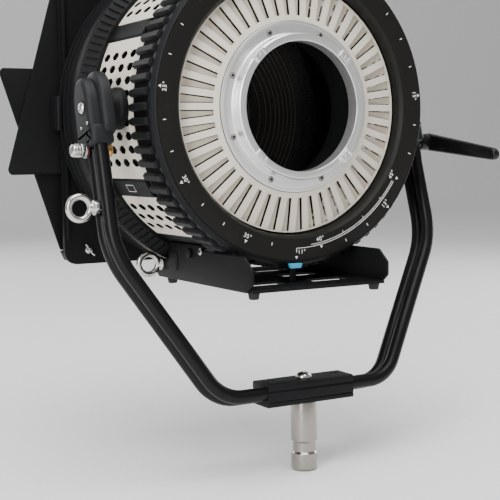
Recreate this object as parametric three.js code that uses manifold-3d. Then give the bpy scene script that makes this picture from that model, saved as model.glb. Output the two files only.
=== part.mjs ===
// Yoke-mounted Fresnel spotlight with a zoom ring, a rear module mount and a closed barn door.
// Millimetres, +Z up. The light leaves along -Y. The origin is the lower end of the spigot.
import * as THREE from 'three';
import { mergeVertices } from 'three/addons/utils/BufferGeometryUtils.js';
import ManifoldModule from 'manifold-3d';

const wasm = await ManifoldModule();
wasm.setup();

// ---- driving dimensions -------------------------------------------------------------------
const GAP = 0.3; // clearance between pieces that touch in the real lamp

const SPIGOT_D = 28.6; // 1-1/8 inch stand spigot
const SPIGOT_LENGTH = 75;
const BLOCK = { x: 109, y: 34, z: 25 }; // extruded block between the two yoke arms
const TUBE_D = 15;
const TUBE_PITCH = 18.5; // front tube to rear tube, square to the leaning arm
const TUBE_Z = 86.8;
const YOKE_HALF = 202.8; // arm centre at the pivot
const YOKE_KNEE = 203.8; // arm centre at the knee
const KNEE_UP = 162.4; // knee above the block, along the arm
const ELBOW_X = 105.4; // where the arm turns up from the block
const LEAN = THREE.MathUtils.degToRad(16); // the arms lean towards the front

const AXIS_Z = 393.5; // optical axis
const PIVOT_Y = -88; // tilt axis
const ARM_LENGTH = (AXIS_Z - TUBE_Z) / Math.cos(LEAN);

const FACE_Y = -7; // rear face of the zoom dial
const DIAL = { inner: 142, outer: 167 };
const GRIP = { root: 170.6, tip: 175.8, inner: 169.3, rear: -14.4, front: -65, ribs: 72 };
const SHELL = { r: 171, wall: 2, rear: -67.3, front: -156, split: 30 };
const HOUSING_FRONT = -240;
const GRILLE = { inner: 92.4, outer: 136.3, slots: 48, slotIn: 99, slotOut: 131.5 };
const BORE_R = 69.7;
const FLANGE_R = 92;

const BASE = { half: 86.5, sheet: 3, bottom: 200.8, rear: 36, front: -184, top: 238.2 };
const FRAME = { half: 179, sheet: 6, rear: -243 }; // barn door frame
const LEAF = { hinge: 177.5, sheet: 1.6 };

// ---- finishes -----------------------------------------------------------------------------
const finish = (color, roughness, metalness) =>
  new THREE.MeshStandardMaterial({ color, roughness, metalness });
const BLACK_PAINT = finish(0x1c1e21, 0.55, 0.2);
const TUBE_PAINT = finish(0x232529, 0.42, 0.3);
const PLASTIC = finish(0x25282c, 0.62, 0);
const DIAL_GREY = finish(0x4a4b48, 0.5, 0.1);
const SAND = finish(0xd8d2c4, 0.6, 0);
const WHITE_METAL = finish(0xe6e5e1, 0.35, 0.4);
const STEEL = finish(0xc9c8c5, 0.25, 1);
const BRASS = finish(0xb08545, 0.35, 1);
const RED = finish(0x7c2a30, 0.5, 0);
const BLUE = finish(0x3a9cc8, 0.4, 0);
const BROWN = finish(0x6b4a36, 0.6, 0.2);
const RUBBER = finish(0x17181a, 0.85, 0);
const GLASS = finish(0xdfe8ec, 0.08, 0);

// ---- helpers ------------------------------------------------------------------------------
const lamp = new THREE.Group();
lamp.name = 'fresnel_spotlight';
const pt = (x, y) => new THREE.Vector2(x, y);
const rad = THREE.MathUtils.degToRad;

function volume(geometry) {
  const p = geometry.attributes.position;
  const i = geometry.index;
  const [a, b, c] = [new THREE.Vector3(), new THREE.Vector3(), new THREE.Vector3()];
  let sum = 0;
  for (let k = 0; k < i.count; k += 3) {
    a.fromBufferAttribute(p, i.getX(k));
    b.fromBufferAttribute(p, i.getX(k + 1));
    c.fromBufferAttribute(p, i.getX(k + 2));
    sum += a.dot(b.cross(c)) / 6;
  }
  return sum;
}

// One welded body with its faces turned outward.
function weld(geometry) {
  const bare = new THREE.BufferGeometry();
  bare.setAttribute('position', geometry.attributes.position.clone());
  if (geometry.index) bare.setIndex(geometry.index.clone());
  const welded = mergeVertices(bare, 1e-4);
  const old = Array.from(welded.index.array);
  const kept = [];
  for (let k = 0; k < old.length; k += 3) {
    const [a, b, c] = old.slice(k, k + 3);
    if (a !== b && b !== c && a !== c) kept.push(a, b, c);
  }
  welded.setIndex(kept);
  if (volume(welded) < 0) {
    for (let k = 0; k < kept.length; k += 3) [kept[k], kept[k + 1]] = [kept[k + 1], kept[k]];
    welded.setIndex(kept);
  }
  return welded;
}

function toManifold(geometry) {
  const g = weld(geometry);
  const mesh = new wasm.Mesh({
    numProp: 3,
    vertProperties: Float32Array.from(g.attributes.position.array),
    triVerts: Uint32Array.from(g.index.array),
  });
  mesh.merge();
  return new wasm.Manifold(mesh);
}

function fromManifold(solid) {
  const mesh = solid.getMesh();
  const g = new THREE.BufferGeometry();
  g.setAttribute('position', new THREE.Float32BufferAttribute(mesh.vertProperties, 3));
  g.setIndex(Array.from(mesh.triVerts));
  return g;
}

const cut = (geometry, ...tools) =>
  fromManifold(tools.reduce((solid, t) => solid.subtract(toManifold(t)), toManifold(geometry)));
const fuse = (geometry, ...others) =>
  fromManifold(others.reduce((solid, t) => solid.add(toManifold(t)), toManifold(geometry)));

function add(name, geometry, material, position = [0, 0, 0]) {
  const g = weld(geometry);
  g.computeVertexNormals();
  const mesh = new THREE.Mesh(g, material);
  mesh.name = name;
  mesh.position.set(...position);
  lamp.add(mesh);
  return mesh;
}

const polygon = (points) => new THREE.Shape(points.map(([x, y]) => pt(x, y)));

// A polygon with its corners rounded to radius r.
function roundedPolygon(points, r, steps = 4) {
  const out = [];
  const n = points.length;
  points.forEach((p, k) => {
    const corner = pt(...p);
    const radius = Array.isArray(r) ? r[k] : r;
    if (!radius) { out.push([corner.x, corner.y]); return; }
    const before = pt(...points[(k + n - 1) % n]).sub(corner).normalize();
    const after = pt(...points[(k + 1) % n]).sub(corner).normalize();
    const half = Math.acos(THREE.MathUtils.clamp(before.dot(after), -1, 1)) / 2;
    const reach = radius / Math.tan(half);
    const from = corner.clone().addScaledVector(before, reach);
    const to = corner.clone().addScaledVector(after, reach);
    const centre = before.clone().add(after).normalize();
    centre.multiplyScalar(radius / Math.sin(half)).add(corner);
    const a0 = Math.atan2(from.y - centre.y, from.x - centre.x);
    let turn = Math.atan2(to.y - centre.y, to.x - centre.x) - a0;
    if (turn > Math.PI) turn -= 2 * Math.PI;
    if (turn < -Math.PI) turn += 2 * Math.PI;
    for (let s = 0; s <= steps; s++) {
      const a = a0 + (turn * s) / steps;
      out.push([centre.x + radius * Math.cos(a), centre.y + radius * Math.sin(a)]);
    }
  });
  return polygon(out);
}

function circlePoints(cx, cy, r, n) {
  return Array.from({ length: n }, (_, k) => {
    const a = (2 * Math.PI * k) / n;
    return [cx + r * Math.cos(a), cy + r * Math.sin(a)];
  });
}

function extrude(shape, depth, bevel = 0) {
  const options = { depth: depth - 2 * bevel, bevelEnabled: bevel > 0, steps: 1, curveSegments: 1 };
  if (bevel) Object.assign(options, { bevelThickness: bevel, bevelSize: bevel,
    bevelOffset: -bevel, bevelSegments: 1 });
  return new THREE.ExtrudeGeometry(shape, options).translate(0, 0, bevel);
}

// Shape drawn in (Y, Z), thickness along X from x0 to x1.
function slabX(shape, x0, x1, bevel = 0) {
  const basis = new THREE.Matrix4().makeBasis(
    new THREE.Vector3(0, 1, 0), new THREE.Vector3(0, 0, 1), new THREE.Vector3(1, 0, 0));
  return extrude(shape, x1 - x0, bevel).applyMatrix4(basis).translate(x0, 0, 0);
}
// Shape drawn in (X, Z), thickness along Y from y0 to y1.
const slabY = (shape, y0, y1, bevel = 0) =>
  extrude(shape, y1 - y0, bevel).rotateX(Math.PI / 2).translate(0, y1, 0);
// Shape drawn in (X, Y), thickness along Z from z0 to z1.
const slabZ = (shape, z0, z1, bevel = 0) => extrude(shape, z1 - z0, bevel).translate(0, 0, z0);

// Turned solid from a closed (radius, height) outline.
function turned(outline, segments) {
  const profile = outline.map(([r, h]) => pt(r, h));
  profile.push(profile[0].clone());
  return new THREE.LatheGeometry(profile, segments);
}
// About the optical axis, about Z and about X through a given point.
const turnedOptical = (outline, segments = 72) => turned(outline, segments).translate(0, 0, AXIS_Z);
const turnedZ = (outline, segments = 24) => turned(outline, segments).rotateX(Math.PI / 2);
const turnedX = (outline, y, z, segments = 16) =>
  turned(outline, segments).rotateZ(-Math.PI / 2).translate(0, y, z);

// Point at radius r and angle a (0 at +X, 90 at the top) round the optical axis.
const polar = (r, a) => [r * Math.cos(rad(a)), AXIS_Z + r * Math.sin(rad(a))];

function sector(r0, r1, a0, a1, steps) {
  const arc = (r, from, to) => Array.from({ length: steps + 1 }, (_, k) =>
    polar(r, from + ((to - from) * k) / steps));
  return polygon([...arc(r1, a0, a1), ...arc(r0, a1, a0)]);
}

// ---- stand spigot and yoke block ----------------------------------------------------------
const blockBottom = SPIGOT_LENGTH;
const blockTop = blockBottom + BLOCK.z;
const spigotR = SPIGOT_D / 2;
add('spigot', turnedZ([[0, 0], [spigotR - 1.5, 0], [spigotR, 1.5], [spigotR, 17], [12.4, 19.5],
  [12.4, 30], [spigotR, 32.5], [spigotR, blockBottom - GAP], [0, blockBottom - GAP]], 22), STEEL);

{
  const y = BLOCK.y / 2;
  const groove = blockTop - 8.5;
  const low = blockBottom + 5;
  const outline = [[-y + 2, blockBottom], [y - 2, blockBottom], [y, blockBottom + 2],
    [y, low - 1], [y - 1.2, low], [y, low + 1],
    [y, groove - 1.2], [y - 1.6, groove], [y, groove + 1.2], [y, blockTop - 2], [y - 2, blockTop],
    [-y + 2, blockTop], [-y, blockTop - 2], [-y, groove + 1.2], [-y + 1.6, groove],
    [-y, groove - 1.2], [-y, low + 1], [-y + 1.2, low], [-y, low - 1], [-y, blockBottom + 2]];
  add('yoke_block', slabX(polygon(outline), -BLOCK.x / 2, BLOCK.x / 2, 0.8), BLACK_PAINT);
}
add('block_dome_screw', turnedZ([[0, 0], [8.2, 0], [8.2, 1.6], [7.2, 3.6], [5, 5.2], [2.4, 6],
  [0, 6.2]], 16), STEEL, [0, 0, blockTop + GAP]);

// ---- twin-tube yoke arms ------------------------------------------------------------------
// Centre line of one tube, y behind the plane of the leaning yoke. It is laid out as (distance
// from the middle, distance up the arm).
function armPath(side, y, topGap = 14) {
  const corner = (p, q, r, radius) => {
    const [a, b] = [p.clone().sub(q).normalize(), r.clone().sub(q).normalize()];
    const half = Math.acos(a.dot(b)) / 2;
    const reach = radius / Math.tan(half);
    const centre = a.clone().add(b).normalize().multiplyScalar(radius / Math.sin(half)).add(q);
    const from = q.clone().addScaledVector(a, reach);
    const to = q.clone().addScaledVector(b, reach);
    const a0 = Math.atan2(from.y - centre.y, from.x - centre.x);
    let turn = Math.atan2(to.y - centre.y, to.x - centre.x) - a0;
    if (turn > Math.PI) turn -= 2 * Math.PI;
    if (turn < -Math.PI) turn += 2 * Math.PI;
    return Array.from({ length: 9 }, (_, k) => {
      const t = a0 + (turn * k) / 8;
      return pt(centre.x + radius * Math.cos(t), centre.y + radius * Math.sin(t));
    });
  };
  const start = pt(BLOCK.x / 2 + GAP, 0);
  const elbow = pt(ELBOW_X, 0);
  const knee = pt(YOKE_KNEE, KNEE_UP);
  const top = pt(YOKE_HALF, ARM_LENGTH - topGap);
  const line = [start, ...corner(start, elbow, knee, 60), ...corner(elbow, knee, top, 100), top];
  return line.map((p) => new THREE.Vector3(side * p.x,
    y * Math.cos(LEAN) - p.y * Math.sin(LEAN),
    TUBE_Z + y * Math.sin(LEAN) + p.y * Math.cos(LEAN)));
}
function tube(path, r, sides) {
  const smooth = new THREE.CatmullRomCurve3(path, false, 'centripetal');
  const ring = polygon(circlePoints(0, 0, r, sides));
  return new THREE.ExtrudeGeometry(ring, { steps: 20, extrudePath: smooth, curveSegments: 1 });
}
// (Y, Z) of the point s below the pivot along the arm and y behind the yoke plane.
const armAt = (s, y = 0) => [PIVOT_Y + s * Math.sin(LEAN) + y * Math.cos(LEAN),
  AXIS_Z - s * Math.cos(LEAN) + y * Math.sin(LEAN)];
const PLUNGER_S = 43.2; // plunger and lever below the pivot, along the arm
const LEVER_S = 37.4;
for (const [side, hand] of [[1, 'left'], [-1, 'right']]) {
  for (const [offset, place] of [[-TUBE_PITCH / 2, 'front'], [TUBE_PITCH / 2, 'rear']]) {
    let arm = tube(armPath(side, offset), TUBE_D / 2, 10);
    const [y, z] = armAt(PLUNGER_S, offset);
    if (place === 'front' && hand === 'left') {
      arm = cut(arm, turnedX([[0, 180], [3.5, 180], [3.5, 225], [0, 225]], y, z, 14));
    }
    add(`yoke_tube_${hand}_${place}`, arm, TUBE_PAINT);
  }
}

// ---- pivot heads --------------------------------------------------------------------------
const lean = (points) => points.map(([u, v]) => [
  PIVOT_Y + u * Math.cos(LEAN) - v * Math.sin(LEAN),
  AXIS_Z + u * Math.sin(LEAN) + v * Math.cos(LEAN)]);
function pivotHead(side, foot) {
  const arch = Array.from({ length: 13 }, (_, k) => {
    const a = rad(-8 + (196 * k) / 12);
    return [26 * Math.cos(a), 35 * Math.sin(a)];
  });
  const outline = lean([[-19.5, foot], [19.5, foot], ...arch]);
  const body = slabX(polygon(outline), 189, 216, 2.5);
  const channel = slabX(polygon(lean([[4, -60], [8.5, -60], [8.5, 46], [4, 46]])), 214, 220);
  const sockets = [-TUBE_PITCH / 2, TUBE_PITCH / 2].map((offset) =>
    tube(armPath(1, offset, 13), TUBE_D / 2 + 0.4, 10));
  const seat = turnedX([[0, 213.4], [8, 213.4], [8, 220], [0, 220]], PIVOT_Y, AXIS_Z);
  return cut(body, channel, seat, ...sockets)
    .applyMatrix4(new THREE.Matrix4().makeScale(side, 1, 1));
}
const mirror = (geometry, side) =>
  geometry.applyMatrix4(new THREE.Matrix4().makeScale(side, 1, 1));
for (const [side, hand] of [[1, 'left'], [-1, 'right']]) {
  add(`pivot_head_${hand}`, pivotHead(side, hand === 'left' ? -34 : -28), PLASTIC);
  add(`pivot_bolt_${hand}`, mirror(turnedX([[0, 213.7], [6.2, 213.7], [6.2, 215.2], [5, 217.6],
    [2.6, 219], [0, 219.4]], PIVOT_Y, AXIS_Z), side), STEEL);
}

// Hexagonal collar with a round hole, along X.
function hexCollar(x0, x1, r, hole, y, z) {
  const shape = polygon(circlePoints(y, z, r, 6));
  shape.holes.push(new THREE.Path(circlePoints(y, z, hole, 14).map(([u, v]) => pt(u, v))));
  return slabX(shape, x0, x1);
}

// Index plunger through the left front tube: fixed hex body, red ring and brass nose.
const [plungerY, plungerZ] = armAt(PLUNGER_S, -TUBE_PITCH / 2);
const collar = (r0, r1, x0, x1, segments) => turnedX(
  [[r0, x0], [r1, x0], [r1, x1], [r0, x1]], plungerY, plungerZ, segments);
add('plunger_ring', collar(3.5, 8.4, 211.2, 213.4, 16), RED);
add('plunger_body', hexCollar(213.7, 219.6, 8, 3.5, plungerY, plungerZ), STEEL);
add('plunger_socket', collar(3.5, 7.4, 188.5, 195, 16), BRASS);
add('plunger_knob', turnedX([[0, 185], [3.1, 185], [3.1, 219.9], [7.6, 219.9], [7.6, 222.4],
  [6.6, 223], [6.6, 224], [7.6, 224.6], [7, 227.4], [4, 229.4], [0, 230]],
plungerY, plungerZ, 16), STEEL);

// Tilt lever on the right front tube.
{
  const [y, z] = armAt(LEVER_S, -TUBE_PITCH / 2);
  const blade = Array.from({ length: 9 }, (_, k) => {
    const a = rad(100 + 160 * (k / 8));
    return [11 * Math.cos(a), 11 * Math.sin(a)];
  });
  const tip = Array.from({ length: 7 }, (_, k) => {
    const a = rad(-80 + (160 * k) / 6);
    return [118 + 7 * Math.cos(a), 7 * Math.sin(a)];
  });
  const droop = rad(-7.5);
  const turnedBlade = [...blade, ...tip].map(([u, v]) => [
    y + u * Math.cos(droop) - v * Math.sin(droop), z + u * Math.sin(droop) + v * Math.cos(droop)]);
  const paddle = slabX(polygon(turnedBlade), -249, -239, 2);
  const stub = turnedX([[0, 213.7], [8, 213.7], [8, 243], [0, 243]], y, z, 20);
  add('tilt_lever', fuse(paddle, mirror(stub, -1)), PLASTIC);
  add('lever_washer', mirror(turnedX([[0, 211.2], [8.6, 211.2], [8.6, 213.4], [0, 213.4]],
    y, z, 20), -1), BROWN);
}

// ---- eye bolts ----------------------------------------------------------------------------
// The ring stands outboard of its shoulder, with its hole along Y.
function eyeBolt(xFace, y, z, shank, neck = 0) {
  const loop = new THREE.TorusGeometry(11.9, 3.4, 7, 15).rotateX(Math.PI / 2);
  loop.translate(xFace + neck + 17.5, y, z);
  const shoulder = turnedX([[0, xFace - shank], [3.9, xFace - shank], [3.9, xFace],
    [7.8, xFace], [7.8, xFace + neck + 2.6], [5.2, xFace + neck + 5.4],
    [0, xFace + neck + 5.4]], y, z, 18);
  return fuse(loop, shoulder);
}
const EYE_S = 107;
{
  const [y, z] = armAt(EYE_S);
  const s = ARM_LENGTH - EYE_S;
  const top = ARM_LENGTH - 14;
  const x = YOKE_KNEE + ((YOKE_HALF - YOKE_KNEE) * (s - KNEE_UP)) / (top - KNEE_UP);
  const bolt = eyeBolt(x + TUBE_D / 2 + 0.6, y, z, 23, 2.6);
  const clear = turnedX([[0, 170], [4.3, 170], [4.3, 240], [0, 240]], y, z, 14);
  for (const place of ['front', 'rear']) {
    const arm = lamp.getObjectByName(`yoke_tube_left_${place}`);
    arm.geometry = weld(cut(arm.geometry, clear));
  }
  add('yoke_eye_bolt', bolt, STEEL);
  add('yoke_eye_nut', hexCollar(x - 14, x - 8, 7.6, 4.3, y, z), BLACK_PAINT);
}

// ---- front housing and lens ---------------------------------------------------------------
add('front_housing', turnedOptical([[167, -156.3], [175.5, -156.3], [186, -167], [189, -169.5],
  [189, -182], [184, -187], [184, HOUSING_FRONT], [181, HOUSING_FRONT], [181, -222.7],
  [168, -222.7], [168, -219.7], [181, -219.7], [181, -186], [186, -181], [186, -170.8],
  [174.6, -159.3], [167, -159.3]], 36), BLACK_PAINT);
add('lens_retainer', turnedOptical([[168, -231.4], [180, -231.4], [180, -236],
  [170, -236]], 32), BLACK_PAINT);
{
  const steps = [];
  for (let k = 0; k < 3; k++) {
    const r = 166 - k * 50;
    steps.push([r, -223], [r - 48, -226.4]);
  }
  add('fresnel_lens', turnedOptical([[0, -231], [179.6, -231], [179.6, -223], ...steps,
    [0, -226.4]], 32), GLASS);
}

// ---- shell, ribbed tie bands and rear support ---------------------------------------------
const shellInner = SHELL.r - SHELL.wall;
const edge = SHELL.split - 3.9; // panels stop beside the tie bands
const far = SHELL.split + 3.9;
const panels = [['shell_left', -edge, edge, 12], ['shell_right', 180 - edge, 180 + edge, 12],
  ['shell_top', far, 180 - far, 22], ['shell_lower_left', -54.8, -far, 5],
  ['shell_lower_right', 180 + far, 234.8, 5]];
for (const [name, a0, a1, steps] of panels) {
  add(name, slabY(sector(shellInner, SHELL.r, a0, a1, steps), SHELL.front, SHELL.rear), SAND);
}
for (const [name, a] of [['tie_band_upper_left', SHELL.split],
  ['tie_band_upper_right', 180 - SHELL.split], ['tie_band_lower_left', -SHELL.split],
  ['tie_band_lower_right', 180 + SHELL.split]]) {
  add(name, slabY(sector(165.5, 172.1, a - 3.6, a + 3.6, 2), SHELL.front, SHELL.rear), BLACK_PAINT);
}
add('rear_support_ring', turnedOptical([[141.5, -22], [168.8, -22], [168.8, -66.9], [163, -66.9],
  [163, -34], [141.5, -34]], 40), BLACK_PAINT);

// ---- zoom ring ----------------------------------------------------------------------------
{
  const teeth = [];
  const pitch = 360 / GRIP.ribs;
  for (let k = 0; k < GRIP.ribs; k++) {
    const a = k * pitch;
    teeth.push(polar(GRIP.root, a - 1.6), polar(GRIP.tip, a - 1), polar(GRIP.tip, a + 1.6));
  }
  const shape = polygon(teeth);
  shape.holes.push(new THREE.Path(circlePoints(0, AXIS_Z, GRIP.inner + 0.3, 48).reverse()
    .map(([x, z]) => pt(x, z))));
  add('zoom_grip', slabY(shape, GRIP.front, GRIP.rear), PLASTIC);
}
add('zoom_dial', turnedOptical([[138.2, -20.5], [DIAL.inner, FACE_Y], [DIAL.outer, FACE_Y],
  [168.4, -8.2], [170.2, -10.6], [171.6, -14.1], [169, -14.1], [169, -20.5]], 48), DIAL_GREY);

// ---- rear carriage: module flange with bayonet lugs, and the grille ------------------------
{
  const flange = turnedOptical([[BORE_R, -11], [BORE_R, 4.3], [BORE_R + 1, 5.3], [77, 5.3],
    [78.5, 3.5], [78.5, -10], [FLANGE_R, -10], [FLANGE_R, -18], [76, -18], [76, -11]], 40);
  const lugs = [45, 135, 225, 315].map((a) => {
    const block = new THREE.BoxGeometry(9, 5.4, 15).translate(75.5, 7, 0);
    return block.rotateY(-rad(a)).translate(0, 0, AXIS_Z);
  });
  add('mount_flange', fuse(flange, ...lugs), WHITE_METAL);
  add('carriage_sleeve', turnedOptical([[80, -18.3], [84, -18.3], [84, -60], [80, -60]], 32),
    BLACK_PAINT);
}
{
  const shape = polygon(circlePoints(0, 0, GRILLE.outer, 48));
  const holes = [circlePoints(0, 0, GRILLE.inner + 0.1, 48)];
  for (let k = 0; k < GRILLE.slots; k++) {
    const a = (2 * Math.PI * (k + 0.5)) / GRILLE.slots;
    const at = (r, t) => [r * Math.cos(a) - t * Math.sin(a), r * Math.sin(a) + t * Math.cos(a)];
    holes.push([at(GRILLE.slotIn, -1.8), at(GRILLE.slotOut, -2.4), at(GRILLE.slotOut, 2.4),
      at(GRILLE.slotIn, 1.8)]);
  }
  for (const hole of holes) {
    shape.holes.push(new THREE.Path(hole.reverse().map(([x, z]) => pt(x, z))));
  }
  const grille = slabY(shape, -2, 0);
  const p = grille.attributes.position;
  for (let k = 0; k < p.count; k++) { // the annulus is a shallow cone
    const r = Math.hypot(p.getX(k), p.getZ(k));
    p.setY(k, p.getY(k) - 12 - ((r - GRILLE.inner) * 8) / (GRILLE.outer - GRILLE.inner));
  }
  add('rear_grille', grille.translate(0, 0, AXIS_Z), SAND);
}

// ---- hubs on the shell --------------------------------------------------------------------
for (const [side, hand] of [[1, 'left'], [-1, 'right']]) {
  add(`hub_${hand}`, mirror(turnedX([[0, 171.4], [22.6, 171.4], [22.6, 178], [21.6, 181],
    [20.4, 188.5], [0, 188.5]], PIVOT_Y, AXIS_Z, 24), side), BLACK_PAINT);
}

// ---- base bracket -------------------------------------------------------------------------
{
  const { half, sheet, bottom, rear, front, top } = BASE;
  const side = roundedPolygon([[front, bottom], [rear - 8, bottom], [rear + 4, bottom + 9],
    [rear + 4, bottom + 24], [rear - 14, top], [-66, top], [-69, 243.6], [-148, 243.6],
    [-150, 224], [front, 222]], [5, 3, 3, 3, 8, 0, 6, 6, 3, 12], 3);
  add('base_left', slabX(side, half - sheet, half, 0.5), BLACK_PAINT);
  add('base_right', slabX(side, -half, sheet - half, 0.5), BLACK_PAINT);
  const floor = polygon([[-half + sheet + GAP, front + 4], [half - sheet - GAP, front + 4],
    [half - sheet - GAP, rear], [-half + sheet + GAP, rear]]);
  const slots = [];
  for (const y of [-16, -78, -140]) {
    for (const x of [-41, 41]) {
      slots.push(slabZ(polygon([[x - 24, y - 10], [x + 18, y - 10], [x + 24, y + 10],
        [x - 18, y + 10]]), bottom - 5, bottom + 10));
    }
  }
  add('base_bottom', cut(slabZ(floor, bottom, bottom + sheet), ...slots), BLACK_PAINT);
  for (const [sx, hand] of [[1, 'left'], [-1, 'right']]) {
    for (const [y, place] of [[26, 'rear'], [-164, 'front']]) {
      add(`foot_${hand}_${place}`, turnedZ([[0, -7.2], [5, -7.2], [5.8, -6], [6.4, -GAP],
        [0, -GAP]], 16), RUBBER, [sx * 76, y, bottom]);
    }
  }
  add('base_eye_bolt', eyeBolt(half + 1.6, -170, 216, 1.3), STEEL);
}
// Cradle under the shell that the base hangs from.
add('belly_cradle', slabY(sector(165, 171, 235.1, 304.9, 10), SHELL.front, SHELL.rear),
  BLACK_PAINT);

// Index pointer under the dial, on a post that stands on the base.
add('pointer_post', slabX(roundedPolygon([[-12, BASE.bottom + BASE.sheet + GAP],
  [6, BASE.bottom + BASE.sheet + GAP], [4, 214], [2, 219.1], [-10, 219.1]], 1, 2), -9, 22, 1),
BLACK_PAINT);
add('index_pointer', slabY(polygon([[0.4, 219.4], [12.6, 219.4], [14.6, 224.9], [-1.6, 224.9]]),
  -7, -1, 0.4), BLUE);

// ---- accessory ears -----------------------------------------------------------------------
function ear(angle) {
  const hook = [[184.4, -238], [184.4, -226], [190, -226], [190, -252.4],
    [175.5, -252.4], [175.5, -249.4], [184.4, -249.4]];
  const shape = polygon(hook.map(([x, y]) => [x, y]));
  return slabZ(shape, -20, 20, 0.5).rotateY(-rad(angle)).translate(0, 0, AXIS_Z);
}
for (const [name, a] of [['ear_left', 0], ['ear_right', 180], ['ear_bottom', 270]]) {
  add(name, ear(a), BLACK_PAINT);
}
// Spring latch that closes the top of the accessory slot; it turns up about its rear edge.
add('top_latch', slabX(polygon([[-225.5, 184.7], [-249.4, 184.7], [-249.4, 175.5], [-252.4, 175.5],
  [-252.4, 188], [-225.5, 188]].map(([y, z]) => [y, z + AXIS_Z])), -22, 22, 0.4), STEEL);

// ---- barn door ----------------------------------------------------------------------------
const frameFront = FRAME.rear - FRAME.sheet;
{
  const h = FRAME.half;
  const square = [[-h, -h], [h, -h], [h, h], [-h, h]].map(([x, z]) => [x, z + AXIS_Z]);
  const shape = roundedPolygon(square, 16, 5);
  shape.holes.push(new THREE.Path(circlePoints(0, AXIS_Z, 166, 40).reverse()
    .map(([x, z]) => pt(x, z))));
  add('barn_frame', slabY(shape, frameFront, FRAME.rear, 0.6), BLACK_PAINT);
}
add('frame_wing_screw', turned([[0, FRAME.rear + GAP], [4.6, FRAME.rear + GAP],
  [4.6, FRAME.rear + 5], [2.6, FRAME.rear + 6], [2.6, FRAME.rear + 9], [0, FRAME.rear + 9]], 16)
  .translate(150, 0, AXIS_Z - 162), STEEL);

const HINGE = FRAME.half - 12; // hinge axis from the optical axis
const KNUCKLE = { r: 3.6, pin: 2, bore: 2.4 };
const rodX = (r, x0, x1, sides) => turnedX([[0, x0], [r, x0], [r, x1], [0, x1]], 0, 0, sides);

// Fixed hinge half: a bar on the frame with three knuckles and the pin. up is the leaf's
// direction from its hinge (1 for the bottom leaf) and y is the pin's place in front.
function hingeRail(up, y) {
  const bar = slabX(polygon([[frameFront - GAP, -up * 4.2], [y + 1, -up * 4.2],
    [y + 1, -up * 7], [frameFront - GAP, -up * 7]]), -172, 172);
  const knuckles = [-150, 0, 150].map((x) => fuse(
    rodX(KNUCKLE.r, x - 14, x + 14, 10).translate(0, y, 0),
    slabX(polygon([[y, 0], [y + 2.8, 0], [y + 2.8, -up * 5], [y + 1, -up * 5]]), x - 14, x + 14)));
  return fuse(bar, ...knuckles, rodX(KNUCKLE.pin, -170, 170, 8).translate(0, y, 0));
}
// Leaf: a trapezium, wider at its free edge, on two knuckles round the pin.
function leaf(reach, tip, up, y, plane) {
  const points = [[-LEAF.hinge, up * 4.6], [LEAF.hinge, up * 4.6], [tip, up * (reach - 5)],
    [tip - 4, up * reach], [4 - tip, up * reach], [-tip, up * (reach - 5)]];
  const plate = slabY(roundedPolygon(points, [3, 3, 8, 4, 4, 8], 3), plane - LEAF.sheet, plane);
  const knuckles = [-75, 75].map((x) => cut(
    fuse(rodX(KNUCKLE.r, x - 60, x + 60, 10).translate(0, y, 0),
      slabX(polygon([[plane - LEAF.sheet, 0], [plane, 0], [plane, up * 6],
        [plane - LEAF.sheet, up * 6]]), x - 60, x + 60)),
    rodX(KNUCKLE.bore, x - 70, x + 70, 10).translate(0, y, 0)));
  return fuse(plate, ...knuckles);
}
for (const [name, up, reach, tip, y] of [['top', -1, 238, 241.5, -254],
  ['bottom', 1, 220.5, 247, -260]]) {
  const hinge = [0, 0, AXIS_Z - up * HINGE];
  add(`hinge_rail_${name}`, hingeRail(up, y), BLACK_PAINT, hinge);
  add(`leaf_${name}`, leaf(reach, tip, up, y, y - 2), BLACK_PAINT, hinge);
}

export default lamp;
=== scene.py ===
import math

import bmesh
import bpy
from mathutils import Matrix, Vector
from mathutils.geometry import delaunay_2d_cdt


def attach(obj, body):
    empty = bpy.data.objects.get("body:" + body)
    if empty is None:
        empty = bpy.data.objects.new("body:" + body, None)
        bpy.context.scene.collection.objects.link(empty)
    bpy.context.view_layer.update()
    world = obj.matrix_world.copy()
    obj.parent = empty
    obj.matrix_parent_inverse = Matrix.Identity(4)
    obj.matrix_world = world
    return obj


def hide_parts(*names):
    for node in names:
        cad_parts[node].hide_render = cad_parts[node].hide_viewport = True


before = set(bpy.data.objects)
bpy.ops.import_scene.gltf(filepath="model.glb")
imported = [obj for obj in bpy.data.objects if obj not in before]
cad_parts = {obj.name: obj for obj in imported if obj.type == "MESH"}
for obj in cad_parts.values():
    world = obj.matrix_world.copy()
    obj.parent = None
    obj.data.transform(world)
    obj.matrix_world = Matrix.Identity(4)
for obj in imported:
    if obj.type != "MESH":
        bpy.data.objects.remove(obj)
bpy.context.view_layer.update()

MM = 0.001
AXIS = 393.5                 # optical axis
TILT_Y = -88.0               # tilt axis
LEAN = math.radians(16)      # the yoke leans to the front

# ---- camera --------------------------------------------------------------------------------
camera = bpy.data.objects.new("camera", bpy.data.cameras.new("camera"))
bpy.context.collection.objects.link(camera)
bpy.context.scene.camera = camera
camera.data.sensor_width = 36
camera.data.lens = 82.8
camera.data.shift_y = -0.031
camera.data.clip_start, camera.data.clip_end = 0.05, 60
forward = Vector((-0.4969, -0.8649, -0.0713)).normalized()
right = forward.cross(Vector((0, 0, 1))).normalized()
up = right.cross(forward)
roll = math.radians(-0.77)
right, up = right * math.cos(roll) + up * math.sin(roll), up * math.cos(roll) - right * math.sin(roll)
camera.matrix_world = Matrix.Translation((0.6661, 1.0466, 0.3453)) @ Matrix(
    (right, up, -forward)).transposed().to_4x4()


# ---- materials -----------------------------------------------------------------------------
SLOW_SCALE, BUMP_DISTANCE = 14, 0.0004


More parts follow.
